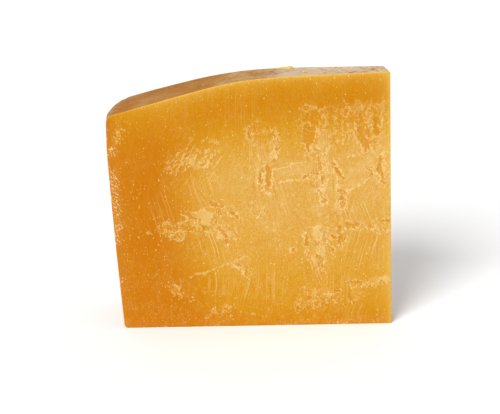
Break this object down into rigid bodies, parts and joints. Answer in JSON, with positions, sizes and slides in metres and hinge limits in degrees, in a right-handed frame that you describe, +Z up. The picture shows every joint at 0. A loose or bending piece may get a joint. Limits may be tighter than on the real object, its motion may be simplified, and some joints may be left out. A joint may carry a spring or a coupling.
{
  "type": "hard aged cheese piece",
  "caption": "Tall sector cut from a hard, aged mountain cheese wheel, with rind on top, base and heel, torn cut faces and a flat base to stand on.",
  "frame": {"origin": "middle of the bounding box at the base, on the surface that the piece stands on", "axes": "+X runs along the front cut from the heel's rind to the tip cut, the front cut faces -Y, and +Z is up, along the wheel's axis"},
  "size_m": [0.1614, 0.0404, 0.15],
  "materials": {
    "cheese": "waxy, slightly oily golden paste with pale crystals and torn patches, and a dry tan rind"
  },
  "bodies": {
    "root": {"cheese": "cheese"}
  },
  "joints": []
}
